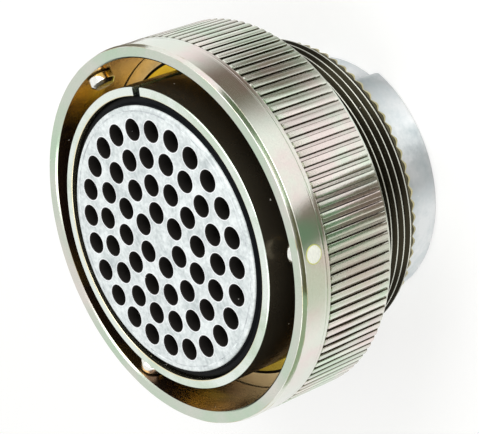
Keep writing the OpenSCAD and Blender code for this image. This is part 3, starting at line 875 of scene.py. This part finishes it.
class PLUG_OT_coupling_ring(bpy.types.Operator):
    """Turn the coupling ring, knurl it and fit its retaining ring"""

    bl_idname = "plug.coupling_ring"
    bl_label = "Coupling ring"

    # Where the gap's film turns from bronze, a painted shade, to gold, towards the key
    lean = (18 * MM, 30 * MM)

    def execute(self, context):
        sizes = context.scene.plug_ring
        colours = context.scene.plug_colours
        self.turn_ring(sizes, colours)
        self.fit_snap_ring(sizes, colours)
        return {"FINISHED"}

    def turn_ring(self, sizes, colours):
        films = (colours.film_green, colours.film_grey, colours.film_pink)
        greens = (colours.face_green, colours.face_grey, colours.face_pink)
        pinks = (colours.band_green, colours.film_grey, colours.film_pink)
        worn = (colours.khaki, colours.film_grey, colours.bare)
        # Bronze is a painted shade on the side of the gap away from the key, and gold is the film by the key
        between = [(a + b) / 2 for a, b in zip(colours.bronze, colours.gold)]
        gold = (colours.bronze, between, colours.gold)
        top, band = RING_HIGH.x, PIN_HIGH.x
        floor = top - sizes.knurl_depth
        rear, front = RING_LOW.z, RING_HIGH.z
        knurl_front = front - sizes.band_len
        knurl_rear = rear + sizes.collar
        line = knurl_front + sizes.line_gap
        taper = front - sizes.nose_len
        slope = sizes.nose_drop / sizes.nose_len
        web_top = rear + sizes.web
        groove = RETAIN_HIGH.x + GROOVE_FIT
        groove_top = RETAIN_HIGH.z + sizes.snap_play
        edge = sizes.edge
        burr = sizes.burr

        # A groove's floor keeps the film's colour, and its flanks take painted shade
        hollow_shade = (floor, top, colours.hollow_shade, [(0.06, 0.8), (0.82, 1.0), (0.2, 0.0), (0.6, 0.0)])
        finishes = [
            passivated_alloy("passivated alloy, faced", greens, 20.0, wear=0.06),
            passivated_alloy("passivated alloy, turned", pinks, 13.0, 0.17, wear=0.06),
            passivated_alloy("passivated alloy, knurled", films, 9.0, hollow_shade=hollow_shade, ridges=sizes.ridges,
                             pitted=0.8),
            passivated_alloy("gold film in the gap", gold, 14.0, wear=0.05, metal=0.95, dusty=True,
                             lean=self.lean),
            passivated_alloy("passivated alloy, worn edge", worn, 5.0, wear=0.0),
        ]
        faced, smooth, knurled, inner, bared = range(5)

        outline = rounded([
            (sizes.web_bore, rear, 0, smooth),
            (floor, rear, edge, smooth),
            (floor, knurl_rear, 0, knurled),
            (floor, knurl_front, 0, smooth),
            (band, knurl_front, sizes.band_edge, smooth),
            (band, line, sizes.line_edge, smooth),
            (band - sizes.line_depth, line + sizes.line_width / 2, 0, smooth),
            (band, line + sizes.line_width, sizes.line_edge, smooth),
            (band, taper - 4 * burr, 0, smooth),
            (band, taper - 3 * burr, 0, bared),
            (band + burr, taper - 1.5 * burr, burr, bared),
            (band, taper, 0, smooth),
            (band - slope * burr, taper + burr, 0, smooth),
            (band - sizes.nose_drop, front, sizes.nose_edge, faced, bared),
            (sizes.bore + sizes.mouth, front, edge, faced),
            (sizes.bore, front - sizes.mouth, edge, inner),
            (sizes.bore, groove_top, 0, inner),
            (groove, groove_top, 0, inner),
            (groove, RETAIN_LOW.z, 0, inner),
            (sizes.bore, RETAIN_LOW.z, 0, inner),
            (sizes.bore, web_top, 0, inner),
            (sizes.web_bore, web_top, 0, inner),
        ])
        bm = bmesh.new()
        turned(bm, outline, even_columns(FINE_COLUMNS))
        ridge = ridge_mesh(sizes, top, floor, knurl_rear, knurl_front + sizes.knurl_sunk)
        ridges = around_axis(ridge, sizes.ridges, finishes[knurled])
        turned_faces = len(bm.faces)
        bm.from_mesh(ridges)
        bm.faces.ensure_lookup_table()
        for face in bm.faces[turned_faces:]:
            face.material_index = knurled
        place("ring_turned", bm, finishes, "coupling", ["coupling_ring"])

    def fit_snap_ring(self, sizes, colours):
        tan = tones(colours.tan, 0.85, 1.0, 1.08)
        dark = tones(colours.hollow_shade, 0.8, 1.0, 1.0)
        finishes = [
            passivated_alloy("tan film on spring steel", tan, 5.0, 0.25, wear=0.1, metal=0.8),
            # The inner edge takes painted shade, darkening the gap behind the ring
            passivated_alloy("dark film on the sheared edge", dark, 12.0, 0.4, wear=0.0),
        ]
        stamped, sheared = range(2)
        inner_r = SHELL_HIGH.x - sizes.snap_reach
        edge = sizes.edge
        outline = rounded([
            (inner_r, RETAIN_LOW.z, edge, stamped),
            (RETAIN_HIGH.x, RETAIN_LOW.z, edge, stamped),
            (RETAIN_HIGH.x, RETAIN_HIGH.z, edge, stamped),
            (inner_r, RETAIN_HIGH.z - sizes.snap_dish, edge, sheared),
        ])
        bm = bmesh.new()
        turned(bm, outline, even_columns(COLUMNS))
        place("snap_ring", bm, finishes, "coupling", ["retaining_ring"])


class PLUG_OT_bayonet_pins(bpy.types.Operator):
    """Set the three bayonet pins through the coupling ring"""

    bl_idname = "plug.bayonet_pins"
    bl_label = "Bayonet pins"

    pins = 3
    columns = 48
    # Points of the slight dome on a pin's outer end: share of the shank's radius, and height
    dome = ((0.9, 0.03 * MM), (0.5, 0.06 * MM), (0.0, 0.07 * MM))

    def execute(self, context):
        sizes = context.scene.plug_ring
        colours = context.scene.plug_colours
        head, shank = (PIN_HIGH.z - PIN_LOW.z) / 2, sizes.pin_shank
        seat = math.sqrt(sizes.bore ** 2 - head ** 2)
        middle = (PIN_HIGH.z + PIN_LOW.z) / 2
        tip, end = PIN_LOW.x, PIN_HIGH.x
        stake = tones(colours.stake, 0.8, 0.9, 1.0)
        umber = tones(colours.umber, 0.5, 0.6, 0.7)
        finishes = [
            bright_metal("bright drawn steel", colours.steel, 0.16),
            passivated_alloy("yellow film at the stake", stake, 4.0, 0.4, wear=0.0, metal=0.6),
            bright_metal("blasted steel end", colours.steel, 0.75),
            # Painted shadow where a pin's head meets the ring's bore
            passivated_alloy("umber film at the pin's seat", umber, 4.0, 0.4, wear=0.0),
        ]
        drawn, staked, blasted, seated = range(4)
        outline = rounded([
            (0.0, tip, 0, drawn),
            (head - sizes.pin_chamfer, tip, sizes.pin_edge, drawn),
            (head, tip + sizes.pin_chamfer, sizes.pin_edge, drawn),
            # Painted shadow at the seat
            (head, seat - sizes.pin_seat, 0, seated),
            (head - sizes.pin_neck, seat, 0, seated),
            (shank, seat, 0, drawn),
            (shank, end - sizes.pin_seat, 0, staked),
            (shank, end, 0, staked),
            *((shank * part, end + rise, 0, blasted) for part, rise in self.dome),
        ])
        lay = Matrix.Translation((0.0, 0.0, middle)) @ Matrix.Rotation(math.radians(90), 4, "Y")
        for i in range(self.pins):
            bm = bmesh.new()
            turned(bm, outline, even_columns(self.columns), closed=False)
            spin = Matrix.Rotation(math.tau * i / self.pins, 4, "Z")
            bmesh.ops.transform(bm, matrix=spin @ lay, verts=bm.verts)
            name = f"pin_{i + 1}"
            place(name, bm, finishes, "coupling", [f"bayonet_{name}"])
        return {"FINISHED"}


class PLUG_OT_shell(bpy.types.Operator):
    """Turn the shell, cut its thread, its teeth and its keyway"""

    bl_idname = "plug.shell"
    bl_label = "Plug shell"

    # Columns for each tooth, and columns on each side of the keyway's middle
    per_tooth = 8
    key_half = 3

    def execute(self, context):
        sizes = context.scene.plug_shell
        colours = context.scene.plug_colours
        rims = (colours.rim_green, colours.rim_pale, colours.rim_pale)
        rear, rim = SHELL_LOW.z, SHELL_HIGH.z
        root = THREAD_R - sizes.thread_depth
        thread_low = THREAD_REAR - sizes.lead_in
        neck = thread_low - sizes.bevel
        journal_rear = THREAD_REAR + sizes.thread_len
        thread_high = journal_rear - sizes.relief
        step = rim - sizes.mating_depth
        flange_top = step - sizes.step_height
        flange_low = flange_top - sizes.flange
        step_r = BARREL_R + sizes.step_width
        bore = BARREL_R - sizes.barrel_wall
        rib_top = rim - sizes.rib_depth
        key_floor = rim - sizes.key_len
        groove = RETAINER_HIGH.x + GROOVE_FIT
        edge = sizes.edge

        # The thread shows its film on its crests alone, and painted shade down its flanks and roots
        hollow_shade = (root, THREAD_R, colours.thread_root, [(0.93, 0.0), (0.99, 1.0)])
        crests = tones(colours.thread_crest, 0.8, 1.0, 1.1)
        creams = tones(colours.cream, 0.9, 1.0, 1.0)
        umber = tones(colours.umber, 0.85, 1.0, 1.15)
        yellow = tones(colours.yellow, 0.9, 1.0, 1.0)
        khaki = tones(colours.khaki, 0.8, 1.0, 1.15)
        # A darkened copy of the teeth's khaki: painted shade on the rim between the teeth and the thread
        olive = tones(colours.khaki, 0.12, 0.18, 0.26)
        finishes = [
            passivated_alloy("passivated alloy, rim", rims, 16.0, wear=0.06),
            passivated_alloy("olive film on the thread", crests, 12.0, 0.25, hollow_shade, 0.05),
            passivated_alloy("khaki film on the teeth", khaki, 5.0, 0.3, wear=0.05),
            # The barrel's walls, deep in the gap and inside the bore, take painted shade
            passivated_alloy("umber film on the barrel", umber, 16.0, 0.26, wear=0.2, metal=0.8, dusty=True),
            passivated_alloy("yellow film on the step", yellow, 12.0, 0.14, wear=0.02),
            passivated_alloy("cream film on the bore's edge", creams, 12.0, 0.24, wear=0.02),
            passivated_alloy("olive film on the rear rim", olive, 5.0, 0.3, wear=0.05),
        ]
        faced, threaded, toothed, walled, stepped, creamed, rimmed = range(7)

        outline = rounded([
            (sizes.rear_bore, rear, edge, toothed),
            (sizes.rim, rear, edge, toothed),
            (sizes.rim, rear + sizes.tooth_foot, 0, rimmed),
            (sizes.rim, neck, 0, threaded),
            (root, thread_low, 0, None),
            (root, thread_high, 0, threaded),
            (root, journal_rear - sizes.bevel, 0, threaded),
            (sizes.journal, journal_rear, edge, threaded),
            (sizes.journal, flange_low, 0, walled),
            (SHELL_HIGH.x, flange_low, edge, walled),
            (SHELL_HIGH.x, flange_top, edge, walled),
            (step_r, flange_top, 0, stepped),
            (step_r, step, edge, stepped),
            # The barrel's outer wall takes painted shade
            (BARREL_R, step, 0, walled),
            (BARREL_R, key_floor, 0, walled),
            (BARREL_R, rim, sizes.rim_edge, faced),
            (bore, rim, sizes.rim_edge / 2, creamed),
            (bore, rim - sizes.bore_edge, 0, walled),
            (bore, key_floor, 0, walled),
            (bore, rib_top, 0, walled),
            (sizes.rib_bore, rib_top, 0, walled),
            (sizes.rib_bore, rib_top - sizes.rib, 0, walled),
            (sizes.rear_bore, rib_top - sizes.rib, 0, walled),
            (sizes.rear_bore, RETAINER_HIGH.z, 0, walled),
            (groove, RETAINER_HIGH.z, 0, walled),
            (groove, RETAINER_LOW.z, 0, walled),
            (sizes.rear_bore, RETAINER_LOW.z, 0, walled),
            (sizes.rear_bore, neck, 0, toothed),
        ])
        columns = self.keyed_columns(sizes)
        count = len(columns)
        pitch = math.tau / sizes.teeth
        half_notch = (pitch * sizes.rim - sizes.tooth_flat) / 2

        def cut_teeth(radius, height, turn):
            if height >= neck:
                return radius, height
            offset = (turn - KEY + pitch / 2) % pitch - pitch / 2
            depth = sizes.tooth_height * max(0.0, 1 - abs(offset) * sizes.rim / half_notch)
            return radius, height + depth * (neck - height) / (neck - rear)

        floors = [i for i, point in enumerate(outline) if abs(point[1] - key_floor) < WELD]
        first, last = floors[0], floors[-1]
        slot = [c % count for c in range(-self.key_half, self.key_half)]

        def in_keyway(i, c):
            return first <= i < last and c in slot

        bm = bmesh.new()
        rings = turned(bm, outline, columns, shape=cut_teeth, gap=in_keyway)
        for c in slot:
            n = (c + 1) % count
            floor = (rings[first][c], rings[first][n], rings[last][n], rings[last][c])
            bm.faces.new(floor).material_index = walled
        for c in (slot[0], (slot[-1] + 1) % count):
            bm.faces.new([rings[i][c] for i in range(first, last + 1)]).material_index = faced
        self.cut_thread(bm, columns, root, thread_low, thread_high, sizes.pitch, threaded)
        place("shell_turned", bm, finishes, "plug", ["plug_shell"])
        return {"FINISHED"}

    def keyed_columns(self, sizes):
        """Even columns, drawn in around the keyway so that two of them lie on its walls."""
        columns = even_columns(sizes.teeth * self.per_tooth)
        step = math.tau / len(columns)
        wall = math.asin(sizes.key_width / 2 / BARREL_R)
        edge = self.key_half * step
        drawn = []
        for turn in columns:
            offset = (turn - KEY + math.pi) % math.tau - math.pi
            if abs(offset) <= edge:
                shift = offset * (wall / edge - 1)
            else:
                fade = max(0.0, 1 - (abs(offset) - edge) / sizes.key_blend)
                shift = math.copysign(wall - edge, offset) * fade
            drawn.append(turn + shift)
        return drawn

    def cut_thread(self, bm, columns, root, low, high, pitch, zone):
        """Right-hand thread between two heights, in rows that follow the helix and run out at 45 degrees."""
        turns = math.ceil((high - low) / pitch) + 2
        rows = [(t - 1 + phase, depth) for t in range(turns) for phase, depth in THREAD_SECTION]
        grid = []
        for turn in columns:
            lead = (turn - columns[0]) / math.tau
            line = []
            for phase, depth in rows:
                z = min(max(low + (phase + lead) * pitch, low), high)
                r = THREAD_R - depth * (THREAD_R - root)
                r = max(root, min(r, root + z - low, root + high - z))
                line.append(bm.verts.new((r * math.cos(turn), r * math.sin(turn), z)))
            grid.append(line)
        for c, line in enumerate(grid):
            closing = c + 1 == len(grid)
            shift = len(THREAD_SECTION) if closing else 0
            ahead = grid[0] if closing else grid[c + 1]
            for j in range(len(rows) - 1 - shift):
                quad = (line[j], ahead[j + shift], ahead[j + shift + 1], line[j + 1])
                heights = [v.co.z for v in quad]
                if max(heights) - min(heights) > WELD:
                    bm.faces.new(quad).material_index = zone


class PLUG_OT_insert(bpy.types.Operator):
    """Mould the front insert with its contact cavities, and the black seal around it"""

    bl_idname = "plug.insert"
    bl_label = "Insert and seal"

    def execute(self, context):
        sizes = context.scene.plug_insert
        colours = context.scene.plug_colours
        self.mould_insert(sizes, colours)
        self.mould_seal(sizes, colours)
        return {"FINISHED"}

    def mould_insert(self, sizes, colours):
        finishes = [
            moulded("pale thermoset, moulded", colours.insert, colours.insert_shade, 4.5, 0.5,
                    graininess=0.4),
            # The cavities' walls take painted shade
            moulded("dark cavity lining", colours.cavity, colours.cavity, 2.0, 0.6, 0.3),
            moulded("dirt in the moulded line", colours.insert, colours.insert_line, 5.0, 0.6),
            moulded("shiny lip of a cavity", colours.insert_lip, colours.insert_lip, 5.0, 0.3),
        ]
        pale, cavity_shade, line_shade, shiny = range(4)
        face, foot = INSERT_HIGH.z, INSERT_LOW.z
        line = sizes.radius - sizes.line_inset
        half = sizes.line_width / 2
        outline = rounded([
            # The moulded line takes painted shade
            (line - 2 * half, face, 0, pale),
            (line - half, face, 0, line_shade),
            (line, face - sizes.line_depth, 0, line_shade),
            (line + half, face, 0, pale),
            (sizes.radius, face, sizes.edge, pale),
            (sizes.radius, foot + sizes.flange, 0, pale),
            (INSERT_HIGH.x, foot + sizes.flange, 0, pale),
            (INSERT_HIGH.x, foot, 0, pale),
        ])
        cavity = MOUNTS["contacts_inner"]["dims"]["hole_r_mm"] * MM
        lip = sizes.lip
        # Below a cavity's lip, its wall takes painted shade
        mouth = [
            # The paler ring at the mouth is a painted highlight, on a glossier finish
            (cavity + lip + sizes.lip_highlight, face, shiny), (cavity + lip, face, cavity_shade),
            (cavity, face - lip, cavity_shade), (cavity, foot, cavity_shade),
        ]
        bm = bmesh.new()
        rings = turned(bm, outline, even_columns(COLUMNS), closed=False)
        bore_holes(bm, "contacts", mouth, rings, pale)
        place("insert_moulded", bm, finishes, "plug", ["front_insert"])

    def mould_seal(self, sizes, colours):
        black = moulded("black rubber, moulded", colours.rubber, colours.rubber, 2.0, 0.55, 0.1)
        inner, outer = sizes.radius + sizes.fit, SEAL_HIGH.x
        foot, top = SEAL_LOW.z, SEAL_HIGH.z
        lip = (outer - inner) / 2
        crest = INSERT_HIGH.z - 1.2 * sizes.edge
        # Round lip against the barrel, and a feather edge that climbs the insert
        outline = rounded([
            (inner, foot, 0, 0),
            (outer, foot, 0, 0),
            (outer, top, 0.98 * lip, 0),
            (inner + 0.5 * lip, top, 0.3 * lip, 0),
            (inner + 0.2 * lip, crest, 0.08 * lip, 0),
            (inner, crest, 0.08 * lip, 0),
        ])
        bm = bmesh.new()
        turned(bm, outline, even_columns(COLUMNS))
        place("seal_moulded", bm, [black], "plug", ["peripheral_seal"])


class PLUG_OT_grommet(bpy.types.Operator):
    """Mould the wire grommet with its relief and its wire holes"""

    bl_idname = "plug.grommet"
    bl_label = "Wire grommet"

    # Degrees around the axis, and brightness of the painted reflection and shade there
    reflection_bands = (
        (-60, 1.0), (-35, 1.0), (-20, 0.92), (-8, 0.86), (2, 0.52), (12, 0.52), (21, 0.9), (30, 1.0),
        (40, 0.8), (50, 0.46), (60, 0.62), (80, 0.85), (140, 0.85), (178, 1.0),
    )

    def execute(self, context):
        sizes = context.scene.plug_grommet
        colours = context.scene.plug_colours
        soft = moulded(
            "pale silicone, moulded", colours.grommet, colours.grommet_shade, 9.0, 0.42, scatter=0.25,
            graininess=0.12, reflection_bands=self.reflection_bands, band_radii=(sizes.bands_from, sizes.bands_full))
        rear, top = GROMMET_LOW.z, GROMMET_HIGH.z
        # The first corner only gives the rear edge its direction
        outline = rounded([
            (0.0, rear, 0, 0),
            (sizes.tail, rear, sizes.edge, 0),
            (sizes.tail, RETAINER_LOW.z, 0, 0),
            (sizes.tail, RETAINER_HIGH.z, 0, 0),
            (GROMMET_HIGH.x, RETAINER_HIGH.z, 0, 0),
            (GROMMET_HIGH.x, top, 0, 0),
        ])[1:]

        def cut_relief(radius, height, turn):
            if height > RETAINER_LOW.z + WELD:
                return radius, height
            offset = abs((turn - KEY + math.pi) % math.tau - math.pi)
            share = (sizes.relief_angle / 2 - offset) / sizes.relief_blend + 0.5
            share = min(max(share, 0.0), 1.0)
            share *= share * (3 - 2 * share)
            # The rear edge is rounded less where the relief comes close to the wire holes
            tight = 1 - sizes.relief_edge * share
            radius = sizes.tail - (sizes.tail - radius) * tight - sizes.relief * share
            if height < rear + sizes.edge + WELD:
                height = rear + (height - rear) * tight
            return radius, height

        wire = MOUNTS["wires_inner"]["dims"]["hole_r_mm"] * MM
        flare = sizes.flare
        rib = rear + sizes.rib_at
        tunnel = [
            (wire + flare, rear, 0),
            (wire + 0.4 * flare, rear + 0.2 * flare, 0),
            (wire, rear + flare, 0),
            (wire, rib - sizes.rib_half, 0),
            (wire - sizes.rib, rib, 0),
            (wire, rib + sizes.rib_half, 0),
            (wire, top, 0),
        ]
        bm = bmesh.new()
        rings = turned(bm, outline, even_columns(FINE_COLUMNS), closed=False, shape=cut_relief)
        bore_holes(bm, "wires", tunnel, rings, 0)
        place("grommet_moulded", bm, [soft], "plug", ["wire_grommet"])
        return {"FINISHED"}


class PLUG_OT_inner_works(bpy.types.Operator):
    """Bend the wave spring, and finish the solids inside the plug: washer, plate, clips and retainer"""

    bl_idname = "plug.inner_works"
    bl_label = "Inner works"

    spring_columns = 216

    def execute(self, context):
        colours = context.scene.plug_colours
        steel = bright_metal("hardened spring steel", colours.spring, 0.3)
        ground = bright_metal("ground steel", colours.spring, 0.22, 0.2)
        copper = bright_metal("stamped copper alloy", colours.copper, 0.28)
        plate = moulded("dark thermoplastic, moulded", colours.plate, colours.plate, 3.0, 0.5)
        self.bend_spring(context.scene.plug_ring, steel)
        finishes = {"insert_retainer": steel, "thrust_washer": ground, "retention_plate": plate}
        finishes.update({f"retention_clips_{k + 1}": copper for k in range(len(CIRCLES))})
        for node, finish in finishes.items():
            for slot in frame["nodes"][node].material_slots:
                slot.material = finish
        return {"FINISHED"}

    def bend_spring(self, sizes, steel):
        """Closed strip in waves, which the washer presses flatter when the ring is pulled."""
        inner_r, outer_r = SPRING_HIGH.x - sizes.spring_strip, SPRING_HIGH.x
        swing = (SPRING_HIGH.z - SPRING_LOW.z - sizes.spring_thick) / 2
        low, high = SPRING_LOW.z + swing, SPRING_HIGH.z - swing
        edge = sizes.edge

        def wave(radius, height, turn):
            return radius, height + swing * math.cos(sizes.spring_waves * turn)

        outline = rounded([
            (inner_r, low, edge, 0),
            (outer_r, low, edge, 0),
            (outer_r, high, edge, 0),
            (inner_r, high, edge, 0),
        ])
        bm = bmesh.new()
        turned(bm, outline, even_columns(self.spring_columns), shape=wave)
        spring = place("spring_bent", bm, [steel], "plug", ["wave_spring"])
        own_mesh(spring)


class PLUG_PT_pieces(bpy.types.Panel):
    """Pieces of the plug and the stage they stand on"""

    bl_idname = "PLUG_PT_pieces"
    bl_label = "Connector plug"
    bl_space_type = "VIEW_3D"
    bl_region_type = "UI"
    bl_category = "Plug"

    def draw(self, context):
        for operator in OPERATORS:
            self.layout.operator(operator.bl_idname)


GROUPS = {
    "plug_ring": PlugRingSizes,
    "plug_shell": PlugShellSizes,
    "plug_insert": PlugInsertSizes,
    "plug_grommet": PlugGrommetSizes,
    "plug_colours": PlugColours,
    "plug_stage": PlugStage,
}
OPERATORS = (
    PLUG_OT_stage, PLUG_OT_coupling_ring, PLUG_OT_bayonet_pins, PLUG_OT_shell, PLUG_OT_insert,
    PLUG_OT_grommet, PLUG_OT_inner_works,
)
CLASSES = (*GROUPS.values(), *OPERATORS, PLUG_PT_pieces)


def register():
    for item in CLASSES:
        bpy.utils.register_class(item)
    for name, group in GROUPS.items():
        setattr(bpy.types.Scene, name, PointerProperty(type=group))


def unregister():
    for name in GROUPS:
        delattr(bpy.types.Scene, name)
    for item in reversed(CLASSES):
        bpy.utils.unregister_class(item)


def main():
    register()
    bpy.ops.plug.stage()
    bpy.ops.plug.coupling_ring()
    bpy.ops.plug.bayonet_pins()
    bpy.ops.plug.shell()
    bpy.ops.plug.insert()
    bpy.ops.plug.grommet()
    bpy.ops.plug.inner_works()


if __name__ == "__main__":
    main()
